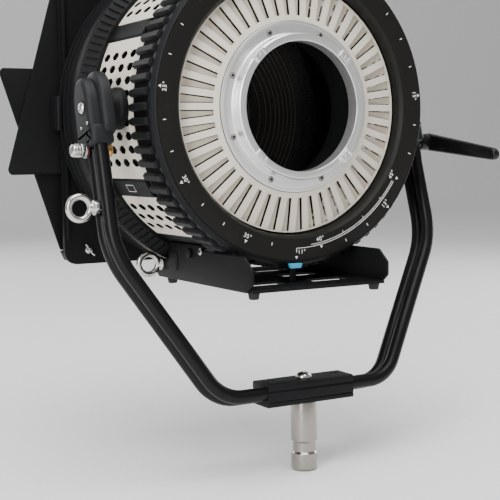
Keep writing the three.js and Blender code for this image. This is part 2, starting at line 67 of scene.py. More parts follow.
def material(name, color, rough, metal=0.0, vary=0.12, grain=900.0, bump=0.02, spread=0.08,
             stretch=(1, 1, 1), coat=0.0, coat_rough=0.2, spec=0.5, **sockets):
    """A finish with fine grain in its bump and slow variation in colour and roughness."""
    m = bpy.data.materials.new(name)
    m.use_nodes = True
    nodes, links = m.node_tree.nodes, m.node_tree.links
    bsdf = nodes["Principled BSDF"]
    coord = nodes.new("ShaderNodeTexCoord")
    mapping = nodes.new("ShaderNodeMapping")
    mapping.inputs["Scale"].default_value = stretch
    links.new(coord.outputs["Object"], mapping.inputs["Vector"])

    def noise(scale, detail, source):
        n = nodes.new("ShaderNodeTexNoise")
        n.inputs["Scale"].default_value = scale
        n.inputs["Detail"].default_value = detail
        links.new(source, n.inputs["Vector"])
        return n.outputs["Fac"]

    fine = noise(grain, 4, mapping.outputs["Vector"])
    slow = noise(SLOW_SCALE, 3, coord.outputs["Object"])
    mix = nodes.new("ShaderNodeMix")
    mix.data_type = "RGBA"
    dark = tuple(c * (1 - vary) for c in color)
    light = tuple(min(1, c * (1 + vary)) for c in color)
    mix.inputs["A"].default_value = (*dark, 1)
    mix.inputs["B"].default_value = (*light, 1)
    both = nodes.new("ShaderNodeMath")
    both.operation = "MULTIPLY_ADD"
    both.inputs[1].default_value = 0.5
    links.new(fine, both.inputs[0])
    half = nodes.new("ShaderNodeMath")
    half.operation = "MULTIPLY"
    half.inputs[1].default_value = 0.5
    links.new(slow, half.inputs[0])
    links.new(half.outputs[0], both.inputs[2])
    links.new(both.outputs[0], mix.inputs["Factor"])
    links.new(mix.outputs["Result"], bsdf.inputs["Base Color"])
    ramp = nodes.new("ShaderNodeMapRange")
    ramp.inputs["To Min"].default_value = max(0.02, rough - spread)
    ramp.inputs["To Max"].default_value = min(1, rough + spread)
    links.new(both.outputs[0], ramp.inputs["Value"])
    links.new(ramp.outputs["Result"], bsdf.inputs["Roughness"])
    if bump:
        b = nodes.new("ShaderNodeBump")
        b.inputs["Strength"].default_value = bump
        b.inputs["Distance"].default_value = BUMP_DISTANCE
        links.new(fine, b.inputs["Height"])
        links.new(b.outputs["Normal"], bsdf.inputs["Normal"])
    bsdf.inputs["Metallic"].default_value = metal
    bsdf.inputs["Coat Weight"].default_value = coat
    bsdf.inputs["Coat Roughness"].default_value = coat_rough
    bsdf.inputs["Specular IOR Level"].default_value = spec
    for key, value in sockets.items():
        bsdf.inputs[key.replace("_", " ")].default_value = value
    m.diffuse_color = (*color, 1)
    return m


POWDER = material("powder_black", (0.0060, 0.0063, 0.0068), 0.50, grain=2600, bump=0.35, vary=0.25,
                  spec=0.15)
SHEET = material("sheet_black", (0.0062, 0.0065, 0.0068), 0.46, grain=2200, bump=0.22, vary=0.2,
                 spec=0.13)
TUBE = material("tube_paint", (0.0050, 0.0052, 0.0056), 0.34, grain=2600, bump=0.02, coat=0.02,
                coat_rough=0.25, vary=0.15, spec=0.16)
LEVER = material("lever_black", (0.0060, 0.0062, 0.0066), 0.26, grain=2200, bump=0.05, vary=0.2,
                 spec=0.26)
PLASTIC = material("plastic_black", (0.0115, 0.0130, 0.0140), 0.48, grain=3200, bump=0.30, vary=0.15,
                   spec=0.22)
GRIP = material("grip_black", (0.0075, 0.0080, 0.0088), 0.50, grain=3000, bump=0.25, vary=0.2,
                spec=0.17)
# painted shade: near-black for the skirt between the grip ribs, where shade falls
RIB_GAP_SHADE = material("grip_root_painted_shade", (0.0025, 0.0026, 0.0028), 0.75, grain=3000, bump=0.2, vary=0.2,
                spec=0.08)
DIAL = material("dial_grey", (0.0105, 0.0102, 0.0093), 0.40, grain=3000, bump=0.18, vary=0.14,
                spec=0.15)
PRINT = material("print_white", (0.80, 0.80, 0.78), 0.55, grain=4000, bump=0.05, vary=0.04)
SAND = material("powder_sand", (0.74, 0.685, 0.585), 0.55, grain=2600, bump=0.22, vary=0.035)
# painted shade: the sand powder darkened for the vanes and rings recessed behind the grille
VANE_SHADE = material("powder_sand_painted_shade", (0.62, 0.56, 0.465), 0.58, grain=2600, bump=0.22, vary=0.04)
PALE = material("anodised_pale", (0.84, 0.84, 0.83), 0.30, metal=0.85, grain=1800, bump=0.06,
                vary=0.03)
STEEL = material("zinc_bright", (0.62, 0.60, 0.57), 0.20, metal=1, grain=500, bump=0.05, vary=0.08,
                 spread=0.07)
BRUSHED = material("brushed_steel", (0.34, 0.315, 0.29), 0.22, metal=1, grain=260, bump=0.12,
                   stretch=(1, 1, 9), vary=0.1, spread=0.08)
BRASS = material("brass", (0.75, 0.42, 0.12), 0.30, metal=1, grain=600, bump=0.05)
RED = material("red_moulded", (0.08, 0.008, 0.012), 0.45, grain=2500, bump=0.1)
BLUE = material("blue_moulded", (0.035, 0.36, 0.62), 0.30, grain=2500, bump=0.05, coat=0.4,
                coat_rough=0.15)
BROWN = material("fibre_brown", (0.13, 0.055, 0.025), 0.70, grain=1500, bump=0.25)
RUBBER = material("rubber_black", (0.010, 0.010, 0.010), 0.75, grain=2000, bump=0.35)
# painted shade: near-black put in screw sockets, round screw heads and in the gap at the flange's rim
RECESS_SHADE = material("recess_painted_shade", (0.002, 0.002, 0.002), 0.80, grain=900, bump=0.0)
# painted highlight: grey rings standing in for light caught on the edges of the lens steps
STEP_GLINT = material("step_painted_glint", (0.20, 0.19, 0.15), 0.4, grain=60, bump=0.0, vary=0.6, spread=0.1)
SCREW = material("screw_grey", (0.30, 0.29, 0.27), 0.36, metal=1, grain=800, bump=0.05, vary=0.1)
GLASS = material("lens_glass", (0.30, 0.32, 0.33), 0.20, grain=300, bump=0.0, vary=0.01,
                 spread=0.03, spec=0.12, Transmission_Weight=1.0, IOR=1.5)


# ---- mesh kit, in millimetres --------------------------------------------------------------
class Kit:
    """Faces gathered for one piece."""

    def __init__(self):
        self.v, self.f, self.m = [], [], []

    def put(self, verts, faces, mat=0):
        base = len(self.v)
        self.v += [tuple(p) for p in verts]
        self.f += [tuple(base + i for i in face) for face in faces]
        self.m += [mat] * len(faces)
        return self


def about_y(a, b, h):        # round the optical axis, h along Y
    return (a, h, AXIS + b)


def about_z(x, y):
    return lambda a, b, h: (x + a, y + b, h)


def about_x(y, z, side=1):
    return lambda a, b, h: (side * h, y + a, z + b)


def facing_rear(x, z):       # round a line along Y through x, z
    return lambda a, b, h: (x + a, h, z + b)


def fillet(points, radius, steps=4, closed=True):
    """A polygon with its corners rounded. radius is one number or one per corner."""
    out = []
    n = len(points)
    for k, p in enumerate(points):
        r = radius[k] if isinstance(radius, (list, tuple)) else radius
        if r <= 0 or (not closed and k in (0, n - 1)):
            out.append(tuple(p))
            continue
        q = Vector(p)
        a, b = Vector(points[k - 1]) - q, Vector(points[(k + 1) % n]) - q
        la, lb = a.length, b.length
        a, b = a / la, b / lb
        half = math.acos(max(-1, min(1, a.dot(b)))) / 2
        if half > math.radians(88.5):
            out.append(tuple(p))
            continue
        reach = min(r / math.tan(half), la * 0.48, lb * 0.48)
        rr = reach * math.tan(half)
        c = q + (a + b).normalized() * (rr / math.sin(half))
        s, e = q + a * reach - c, q + b * reach - c
        a0 = math.atan2(s.y, s.x)
        turn = (math.atan2(e.y, e.x) - a0 + math.pi) % (2 * math.pi) - math.pi
        for i in range(steps + 1):
            t = a0 + turn * i / steps
            out.append((c.x + rr * math.cos(t), c.y + rr * math.sin(t)))
    return out


def lathe(kit, outline, place, segments=96, mat=0, closed=True):
    """Turns a (radius, height) outline. Points on the axis become poles."""
    cols, verts, faces = [], [], []
    for r, h in outline:
        if r < 1e-6:
            cols.append([len(verts)] * segments)
            verts.append(place(0, 0, h))
        else:
            cols.append(list(range(len(verts), len(verts) + segments)))
            verts += [place(r * math.cos(2 * math.pi * i / segments),
                            r * math.sin(2 * math.pi * i / segments), h) for i in range(segments)]
    pairs = list(zip(cols, cols[1:])) + ([(cols[-1], cols[0])] if closed else [])
    for a, b in pairs:
        for i in range(segments):
            j = (i + 1) % segments
            face = []
            for v in (a[i], a[j], b[j], b[i]):
                if v not in face:
                    face.append(v)
            if len(face) > 2:
                faces.append(face)
    return kit.put(verts, faces, mat)


def inset(points, d):
    """An outline moved inwards by d."""
    n = len(points)
    area = sum(points[k][0] * points[(k + 1) % n][1] - points[(k + 1) % n][0] * points[k][1]
               for k in range(n))
    s = 1 if area > 0 else -1
    out = []
    for k in range(n):
        p, q, r = Vector(points[k - 1]), Vector(points[k]), Vector(points[(k + 1) % n])
        a, b = (q - p).normalized(), (r - q).normalized()
        na, nb = Vector((-a.y, a.x)) * s, Vector((-b.y, b.x)) * s
        m = na + nb
        m = m / max(0.35, m.length_squared / 2)
        out.append((q.x + m.x * d, q.y + m.y * d))
    return out


def prism(kit, outline, h0, h1, place, edge=0.6, steps=3):
    """Extrudes a closed outline from h0 to h1 with rounded edges."""
    rings = []
    n = len(outline)
    edges = edge if isinstance(edge, tuple) else (edge, edge)
    for h, e, s in ((h0, edges[0], 1), (h1, edges[1], -1)):
        turns = [i / steps for i in range(steps + 1)] if e > 0 else [1]
        ring = []
        for t in turns:
            a = t * math.pi / 2
            ring.append((inset(outline, e * (1 - math.sin(a))), h + s * e * (1 - math.cos(a))))
        rings += ring if s == 1 else ring[::-1]
    verts = [place(x, y, h) for points, h in rings for x, y in points]
    faces = []
    for k in range(len(rings) - 1):
        for i in range(n):
            j = (i + 1) % n
            faces.append((k * n + i, k * n + j, (k + 1) * n + j, (k + 1) * n + i))
    faces.append(tuple(range(n))[::-1])
    faces.append(tuple((len(rings) - 1) * n + i for i in range(n)))
    return kit.put(verts, faces)


def on_xz(a, b, h):
    return (a, h, b)


def on_yz(a, b, h):
    return (h, a, b)


def on_xy(a, b, h):
    return (a, b, h)


def box(kit, low, high, edge):
    (x0, y0, z0), (x1, y1, z1) = low, high
    return prism(kit, [(x0, y0), (x1, y0), (x1, y1), (x0, y1)], z0, z1, on_xy, edge, 2)


def sweep(kit, path, radius, sides):
    """A round bar along a path."""
    path = [Vector(p) for p in path]
    verts, faces = [], []
    normal = None
    for k, p in enumerate(path):
        t = (path[min(k + 1, len(path) - 1)] - path[max(k - 1, 0)]).normalized()
        if normal is None:
            normal = t.cross(Vector((0, 1, 0.2))).normalized()
        normal = (normal - t * normal.dot(t)).normalized()
        other = t.cross(normal)
        for i in range(sides):
            a = 2 * math.pi * i / sides
            verts.append(p + radius * (normal * math.cos(a) + other * math.sin(a)))
    for k in range(len(path) - 1):
        for i in range(sides):
            j = (i + 1) % sides
            faces.append((k * sides + i, k * sides + j, (k + 1) * sides + j, (k + 1) * sides + i))
    faces.append(tuple(range(sides)))
    faces.append(tuple((len(path) - 1) * sides + i for i in range(sides)))
    return kit.put(verts, faces)


def ring_torus(kit, place, major, minor, sides, tube):
    outline = [(major + minor * math.cos(2 * math.pi * k / tube),
                minor * math.sin(2 * math.pi * k / tube)) for k in range(tube)]
    return lathe(kit, outline, place, sides)


def arc_profile(kit, outline, a0, a1, steps):
    """A closed (radius, Y) outline turned from a0 to a1, in degrees from +X."""
    n = len(outline)
    verts, faces = [], []
    for i in range(steps + 1):
        a = math.radians(a0 + (a1 - a0) * i / steps)
        verts += [(r * math.cos(a), y, AXIS + r * math.sin(a)) for r, y in outline]
    for i in range(steps):
        for k in range(n):
            j = (k + 1) % n
            faces.append((n * i + k, n * i + j, n * i + n + j, n * i + n + k))
    faces += [tuple(range(n)), tuple(n * steps + k for k in range(n))[::-1]]
    return kit.put(verts, faces)


def arc_block(kit, r0, r1, a0, a1, y0, y1, steps):
    """A curved bar round the optical axis."""
    return arc_profile(kit, ((r0, y0), (r1, y0), (r1, y1), (r0, y1)), a0, a1, steps)


def inside(p, loop):
    """Whether a flat point lies within a loop."""
    hit = False
    for (x0, y0), (x1, y1) in zip(loop, loop[1:] + loop[:1]):
        if (y0 > p[1]) != (y1 > p[1]) and p[0] < (x1 - x0) * (p[1] - y0) / (y1 - y0) + x0:
            hit = not hit
    return hit


def pierced(kit, outline, holes, extra, front, back):
    """A sheet with holes. front and back place a flat point on the sheet's two faces."""
    points, edges = [], []
    for loop in [outline] + holes:
        base = len(points)
        points += [Vector(p) for p in loop]
        edges += [(base + i, base + (i + 1) % len(loop)) for i in range(len(loop))]
    points += [Vector(p) for p in extra]
    co, _, tris, _, _, _ = delaunay_2d_cdt(points, edges, [], 0, 1e-5)
    bounds = [(min(x for x, _ in h), max(x for x, _ in h), min(y for _, y in h),
               max(y for _, y in h)) for h in holes]
    kept = []
    for t in tris:
        c = sum((co[i] for i in t), Vector((0, 0))) / 3
        if not inside(c, outline):
            continue
        if any(b[0] < c.x < b[1] and b[2] < c.y < b[3] and inside(c, h)
               for b, h in zip(bounds, holes)):
            continue
        kept.append(tuple(t))
    n = len(co)
    count = {}
    for t in kept:
        for e in zip(t, t[1:] + t[:1]):
            key = tuple(sorted(e))
            count[key] = None if key in count else e
    walls = [(a, b, b + n, a + n) for e in count.values() if e for a, b in [e]]
    verts = [front(c.x, c.y) for c in co] + [back(c.x, c.y) for c in co]
    faces = kept + [tuple(i + n for i in t[::-1]) for t in kept] + walls
    return kit.put(verts, faces)


def mesh_of(name, kit, materials, angle):
    me = bpy.data.meshes.new(name)
    me.from_pydata([Vector(p) * MM for p in kit.v], [], kit.f)
    for m in materials:
        me.materials.append(m)
    me.polygons.foreach_set("material_index", kit.m)
    bm = bmesh.new()
    bm.from_mesh(me)
    bmesh.ops.remove_doubles(bm, verts=bm.verts, dist=2e-7)
    loose = [v for v in bm.verts if not v.link_faces]
    bmesh.ops.delete(bm, geom=loose, context="VERTS")
    bmesh.ops.recalc_face_normals(bm, faces=bm.faces)
    bm.to_mesh(me)
    bm.free()
    me.polygons.foreach_set("use_smooth", [True] * len(me.polygons))
    me.set_sharp_from_angle(angle=math.radians(angle))
    return me


def piece(name, kit, body, materials, nodes=(), angle=32, bevel=0.0):
    if not isinstance(materials, (list, tuple)):
        materials = [materials]
    ob = bpy.data.objects.new(name, mesh_of(name, kit, materials, angle))
    bpy.context.collection.objects.link(ob)
    if bevel:
        mod = ob.modifiers.new("edges", "BEVEL")
        mod.width, mod.segments, mod.limit_method = bevel * MM, 2, "ANGLE"
        mod.angle_limit = math.radians(38)
        mod.harden_normals = True
    if nodes:
        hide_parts(*nodes)
    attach(ob, body)


def carve(kit, cutters):
    base = bpy.data.objects.new("base", mesh_of("base", kit, [], 32))
    bpy.context.collection.objects.link(base)
    tools = []
    for cutter in cutters:
        tool = bpy.data.objects.new("tool", mesh_of("tool", cutter, [], 32))
        bpy.context.collection.objects.link(tool)
        mod = base.modifiers.new("cut", "BOOLEAN")
        mod.object, mod.operation, mod.solver = tool, "DIFFERENCE", "EXACT"
        tools.append(tool)
    evaluated = base.evaluated_get(bpy.context.evaluated_depsgraph_get())
    me = evaluated.to_mesh()
    out = Kit().put([v.co / MM for v in me.vertices], [tuple(p.vertices) for p in me.polygons])
    evaluated.to_mesh_clear()
    for ob in [base] + tools:
        data = ob.data
        bpy.data.objects.remove(ob)
        bpy.data.meshes.remove(data)
    return out


def circle(x, y, r, n=24):
    return [(x + r * math.cos(2 * math.pi * k / n), y + r * math.sin(2 * math.pi * k / n))
            for k in range(n)]


def cap_screw(kit, place, h, r):
    """A low round screw head on the plane h; its hexagon socket is a flat hexagon of painted shade."""
    lathe(kit, [(0, h), (r, h), (r, h + 0.45 * r), (r * 0.8, h + 0.6 * r), (r * 0.5, h + 0.62 * r),
                (r * 0.5, h + 0.3 * r), (0, h + 0.3 * r)], place, 24, closed=False)
    hexagon = circle(0, 0, r * 0.49, 6)
    kit.put([place(x, y, h + 0.34 * r) for x, y in hexagon], [tuple(range(6))], 1)


# ---- spigot and yoke block -----------------------------------------------------------------
k = lathe(Kit(), fillet([(0, 0), (14.3, 0), (14.3, 17.6), (12.4, 19.8), (12.4, 29.8), (14.3, 32),
                         (14.3, 74.7), (0, 74.7)], [0, 1.4, 0.5, 0.8, 0.8, 0.5, 0.4, 0], 3),
          about_z(0, 0), 128, closed=False)
piece("stand_spigot", k, "yoke", BRUSHED, ["spigot"])

top = 100.0
outline = fillet(
    [(-17, 75), (17, 75), (17, 79), (15.9, 80), (17, 81), (17, 90), (15.4, 91.4), (17, 92.8),
     (17, top), (-17, top), (-17, 92.8), (-15.4, 91.4), (-17, 90), (-17, 81), (-15.9, 80), (-17, 79)],
    [1.6, 1.6, .3, .3, .3, .4, .4, .4, 3.4, 3.4, .4, .4, .4, .3, .3, .3], 5)
k = prism(Kit(), outline, -54.5, 54.5, on_yz, 0.35, 2)
holes = [lathe(Kit(), [(0, top - 4), (2.1, top - 4), (2.1, top + 1), (0, top + 1)],
               about_z(x, y), 20, closed=False)
         for x, y in ((37.5, -13), (37.5, -2), (-44, -13), (-44, -3))]
k = carve(k, holes)
piece("yoke_block_body", k, "yoke", POWDER, ["yoke_block"], angle=28)

k = Kit()
lathe(k, fillet([(0, 100.3), (9, 100.3), (9, 101.2), (8.4, 103), (6.4, 105), (3.2, 106.2),
                 (2.6, 106.2), (2.2, 105.2), (0, 105.2)], [0, .3, .5, 2, 2, 1, .2, 0, 0], 4),
      about_z(0, 0), 72, closed=False)
piece("block_screw", k, "yoke", STEEL, ["block_dome_screw"])

# ---- twin-tube arms ------------------------------------------------------------------------
PITCH, TUBE_R, TUBE_Z = 18.5, 7.5, 86.8
ARM = (AXIS - TUBE_Z) / math.cos(LEAN)       # up the lean, from the block to the tilt axis


def arm(side, offset, end):
    """Centre line of one tube; offset is behind the plane of the yoke."""
    flat = fillet([(54.8, 0), (105.4, 0), (203.8, 162.4), (202.8, ARM - end)], [0, 59, 100, 0],
                  18, closed=False)
    dense = []
    for a, b in zip(flat, flat[1:]):
        steps = max(1, int(math.dist(a, b) / 12))
        dense += [(a[0] + (b[0] - a[0]) * i / steps, a[1] + (b[1] - a[1]) * i / steps)
                  for i in range(steps)]
    dense.append(flat[-1])
    return [(side * u, offset * math.cos(LEAN) - v * math.sin(LEAN),
             TUBE_Z + offset * math.sin(LEAN) + v * math.cos(LEAN)) for u, v in dense]


for side, hand in ((1, "left"), (-1, "right")):
    for sign, place in ((-1, "front"), (1, "rear")):
        k = sweep(Kit(), arm(side, sign * PITCH / 2, 14), TUBE_R, 48)
        piece(f"arm_{hand}_{place}", k, "yoke", TUBE, [f"yoke_tube_{hand}_{place}"],
              angle=50)


# ---- pivot heads ---------------------------------------------------------------------------
def leaning(side):
    """Outline coordinates (u to the rear, v up the arm) at x = side * h."""
    return lambda u, v, h: (side * h, TILT_Y + u * math.cos(LEAN) - v * math.sin(LEAN),
                            AXIS + u * math.sin(LEAN) + v * math.cos(LEAN))


ARCH_STEPS = 22
SMOOTH = [0] * (ARCH_STEPS + 1)            # fillet leaves the rounded top as it is


def arch(u0, u1, foot, crown):
    """A pillar with a rounded top."""
    n = ARCH_STEPS
    cu, ru, rv = (u0 + u1) / 2, (u1 - u0) / 2, crown * 0.92
    top_arc = [(cu + ru * math.cos(math.pi * i / n), crown - rv + rv * math.sin(math.pi * i / n))
               for i in range(n + 1)]
    return [(u0, foot), (u1, foot)] + top_arc


for side, hand, foot in ((1, "left", -34), (-1, "right", -28)):
    at = leaning(side)
    k = Kit()
    plate, cover = arch(-25, 26, -33, 40), arch(-22.5, 17.5, foot, 33.5)
    prism(k, fillet(plate, [9, 10] + SMOOTH, 6), 189, 203, at, (2, 6), 7)
    prism(k, fillet(cover, [3, 4] + SMOOTH, 5), 191.5, 216, at, (2, 6.5), 8)
    collar = [(-2, -43), (19.5, -43), (19.5, -22), (-2, -22)]
    prism(k, fillet(collar, [3, 4, 3, 3], 5), 191, 215.6, at, (2.5, 6), 7)
    wedge = [(-20.5, -36), (3, -42.2), (7, -14), (-19.5, -14)]
    prism(k, fillet(wedge, 2, 4), 193, 215.9, at, 1.6, 4)
    piece(f"pivot_cover_{hand}", k, "yoke", PLASTIC, [f"pivot_head_{hand}"],
          angle=30)
    k = Kit()
    spot = about_x(TILT_Y + 3, AXIS, side)
    # the black rings under the bolt head here and under the two screw heads below are painted shade
    lathe(k, [(0, 215.6), (8.6, 215.6), (9, 216.1), (7.4, 216.3), (6.6, 215.9), (0, 215.9)], spot,
          40, 1, closed=False)
    lathe(k, fillet([(0, 215.9), (6.2, 215.9), (6.2, 217), (4.6, 218.9), (2.4, 219.4), (2.2, 218.6),
                     (0, 218.6)], [0, .3, 1, 1, .2, 0, 0], 3), spot, 40, 0, closed=False)
    for dy, dz in ((17, -16), (1, -21)):
        place = about_x(TILT_Y + dy, AXIS + dz, side)
        lathe(k, [(0, 215.8), (3.2, 215.8), (3.3, 216.3), (2.3, 216.2), (0, 216.1)], place, 24, 1,
              closed=False)
        lathe(k, [(0, 216), (2.1, 216), (1.9, 216.9), (0, 217.1)], place, 24, 0, closed=False)
    piece(f"pivot_screws_{hand}", k, "yoke", [STEEL, RECESS_SHADE], [f"pivot_bolt_{hand}"])


# ---- index plunger and tilt lever ----------------------------------------------------------
def arm_point(s, offset=0.0):
    """(Y, Z) of a point s down the arm from the tilt axis."""
    return (TILT_Y + s * math.sin(LEAN) + offset * math.cos(LEAN),
            AXIS - s * math.cos(LEAN) + offset * math.sin(LEAN))


py, pz = arm_point(43.2, -PITCH / 2)
at = about_x(py, pz)
k = lathe(Kit(), fillet([(3.5, 211.2), (8.4, 211.2), (8.4, 213.4), (3.5, 213.4)], .5, 3), at, 48)
piece("plunger_collar", k, "yoke", RED, ["plunger_ring"])
k = Kit()
prism(k, circle(0, 0, 8, 6), 213.9, 219.4, lambda a, b, h: (h, py + a, pz + b), 0.7, 3)
lathe(k, fillet([(3.5, 213.7), (8.2, 213.7), (8.2, 214.6), (3.5, 214.6)], .3, 2), at, 40)
piece("plunger_hexagon", k, "yoke", STEEL, ["plunger_body"])
k = lathe(Kit(), fillet([(3.5, 184.5), (6.4, 184.5), (7.4, 186), (7.4, 195), (3.5, 195)], .5, 3), at,
          48)
piece("plunger_nose", k, "yoke", BRASS, ["plunger_socket"])
knob = [(0, 185), (3.1, 185), (3.1, 219.7), (7.2, 219.7), (7.2, 221.6), (6.3, 222), (6.3, 222.8),
        (7.2, 223.2), (7.2, 224.6), (6.3, 225), (6.3, 225.6), (7, 226), (6.6, 228), (4.6, 229.6),
        (0, 230)]
k = lathe(Kit(), fillet(knob, [0, .6, 0, .3, .4, .2, .2, .4, .4, .2, .2, .4, 1.2, 2, 0], 3), at, 64,
          closed=False)
piece("plunger_pull", k, "plunger", STEEL, ["plunger_knob"])

ly, lz = arm_point(37.4, -PITCH / 2)
droop = math.radians(-7.5)



def half_round(x, r, start, steps):
    """An arc of 160 degrees about (x, 0)."""
    turns = [math.radians(start + 160 * i / steps) for i in range(steps + 1)]
    return [(x + r * math.cos(t), r * math.sin(t)) for t in turns]


BLADE_TIP = 118.0             # centre of the rounded tip, from the lever's axis
blade = half_round(0, 11, 100, 14) + half_round(BLADE_TIP, 7, -80, 12)
blade = [(ly + u * math.cos(droop) - v * math.sin(droop),
          lz + u * math.sin(droop) + v * math.cos(droop)) for u, v in blade]
k = prism(Kit(), blade, -249, -239, on_yz, 3.2, 6)
lathe(k, fillet([(0, 213.7), (8.8, 213.7), (8.8, 225), (8.2, 225.6), (8.2, 226.6), (9.6, 227.4),
                 (10.6, 240), (0, 240)], [0, .8, .3, .2, .2, .8, 1, 0], 3), about_x(ly, lz, -1), 56,
      closed=False)
piece("lever_handle", k, "lever", LEVER, ["tilt_lever"], angle=40)
k = lathe(Kit(), fillet([(0, 211.2), (8.6, 211.2), (8.6, 213.4), (0, 213.4)], [0, .3, .3, 0], 2),
          about_x(ly, lz, -1), 48, closed=False)
piece("lever_disc", k, "yoke", BROWN, ["lever_washer"])


# ---- eye bolts -----------------------------------------------------------------------------
def eye(x, y, z, shank, neck=0.0):
    k = Kit()
    ring_torus(k, lambda a, b, h: (x + neck + 17.5 + a, y + h, z + b), 11.9, 3.4, 96, 24)
    lathe(k, fillet([(0, x - shank), (3.9, x - shank), (3.9, x), (7.8, x), (7.8, x + neck + 2.4),
                     (5.3, x + neck + 4.2), (4.6, x + neck + 7.5), (0, x + neck + 7.5)],
                    [0, .5, .2, .5, .9, 1, .5, 0], 4), about_x(y, z), 64, closed=False)
    return k


ey, ez = arm_point(107)
piece("yoke_eye", eye(203.8 + 7.75, ey, ez, 23, 2.6), "yoke", STEEL, ["yoke_eye_bolt"],
      angle=40)
k = prism(Kit(), circle(0, 0, 7.6, 6), 189.5, 195.5, lambda a, b, h: (h, ey + a, ez + b), 0.7, 3)
piece("yoke_eye_locknut", k, "yoke", POWDER, ["yoke_eye_nut"])
piece("base_eye", eye(86.7, -170, 216.9, 1.0), "head", STEEL, ["base_eye_bolt"], angle=40)

# ---- front housing and lens ----------------------------------------------------------------
outline = fillet(
    [(167, -156.3), (175.5, -156.3), (186, -167), (189, -169.5), (189, -182), (184, -187),
     (184, -240), (181, -240), (181, -222.7), (168, -222.7), (168, -219.7), (181, -219.7),
     (181, -186), (186, -181), (186, -170.8), (174.6, -159.3), (167, -159.3)],
    [.6, 1, 2, 1.4, 2.5, 2, .8, .8, 0, 0, 0, 0, 0, 0, 0, 0, 0], 3)
k = lathe(Kit(), outline, about_y, 200)
FINS = 132
FIN_HALF = 0.55
FIN_OUTLINE = ((175.2, -156.5), (179.6, -156.9), (188.3, -165.6), (188.3, -169.3), (184.5, -166.5))
for i in range(FINS):         # cooling fins on the rear cone
    a = math.radians(i * 360 / FINS)
    c, s = math.cos(a), math.sin(a)
    pts = []
    for r, y in FIN_OUTLINE:
        for t in (-FIN_HALF, FIN_HALF):
            pts.append((r * c - t * s, y, AXIS + r * s + t * c))
    k.put(pts, [(0, 2, 4, 6, 8), (9, 7, 5, 3, 1)] + [(2 * j, 2 * j + 1, (2 * j + 3) % 10,
                                                     (2 * j + 2) % 10) for j in range(5)])
for y in (-192, -206, -220, -234):      # moulded hoops
    lathe(k, fillet([(183, y), (185.2, y), (185.2, y - 3), (183, y - 3)], .6, 2), about_y, 200)
piece("housing_front", k, "head", POWDER, ["front_housing"], angle=35)
k = lathe(Kit(), fillet([(168, -231.4), (180, -231.4), (180, -236), (170, -236)], .8, 3), about_y, 160)
piece("lens_clamp", k, "head", POWDER, ["lens_retainer"])
LENS_R, STEP_WIDTH = 168, 4
steps = [(0, -231), (179.4, -231), (179.4, -223), (LENS_R, -223)]
for i in range(LENS_R // STEP_WIDTH):      # stepped prisms, deeper towards the rim
    r = LENS_R - i * STEP_WIDTH
    depth = 0.3 + 1.1 * r / LENS_R
    steps += [(r, -223.2), (max(0.0, r - STEP_WIDTH), -223.2 - depth)]
k = lathe(Kit(), steps[:-1] + [(0, -223.8)], about_y, 160, closed=False)
piece("lens_stepped", k, "head", GLASS, ["fresnel_lens"], angle=60)
k = Kit()
for r in (30, 48, 64, 80, 89, 96, 103, 109, 115, 121, 127, 133):     # rings of painted glint along the lens steps
    lathe(k, [(r, -222.95), (r + 0.45, -222.95), (r + 0.45, -222.8), (r, -222.8)], about_y, 144)
piece("lens_step_glints", k, "head", STEP_GLINT)

# ---- shell ---------------------------------------------------------------------------------
SHELL_R, REAR, FRONT = 171.0, -67.3, -156.0
SHEET_THICK, HOLE_HALF, HOLE_POINT, HOLE_CLEAR = 0.9, 5.2, 9.0, 10
COLUMNS = (-145.1, -121.8, -98.5, -75.2)   # Y of the holes
EDGE_STEPS = 16               # points along the straight edges of a sheet


def shell(name, a0, a1, rows, node):
    """A curved sheet; rows are the angles of its lines of hexagonal holes."""
    u0, u1 = math.radians(a0) * SHELL_R, math.radians(a1) * SHELL_R
    n = max(2, int((u1 - u0) / 4))
    outline = ([(u0 + (u1 - u0) * i / n, FRONT) for i in range(n)]
               + [(u1, FRONT + (REAR - FRONT) * i / EDGE_STEPS) for i in range(EDGE_STEPS)]
               + [(u1 + (u0 - u1) * i / n, REAR) for i in range(n)]
               + [(u0, REAR + (FRONT - REAR) * i / EDGE_STEPS) for i in range(EDGE_STEPS)])
    holes = []
    for a in rows:
        for y in COLUMNS:
            u = math.radians(a) * SHELL_R
            holes.append([(u + HOLE_HALF * math.sin(math.pi * j / 3),
                           y + HOLE_POINT * math.cos(math.pi * j / 3)) for j in range(6)])
    extra = []
    for i in range(1, n):
        for j in range(1, EDGE_STEPS):
            p = (u0 + (u1 - u0) * i / n, FRONT + (REAR - FRONT) * j / EDGE_STEPS)
            if all(math.dist(p, (sum(q[0] for q in h) / 6, sum(q[1] for q in h) / 6)) > HOLE_CLEAR
                   for h in holes):
                extra.append(p)

    def at(r):
        return lambda u, y: (r * math.cos(u / SHELL_R), y, AXIS + r * math.sin(u / SHELL_R))

    k = pierced(Kit(), outline, holes, extra, at(SHELL_R), at(SHELL_R - SHEET_THICK))
    piece(name, k, "head", SAND, [node], angle=40)


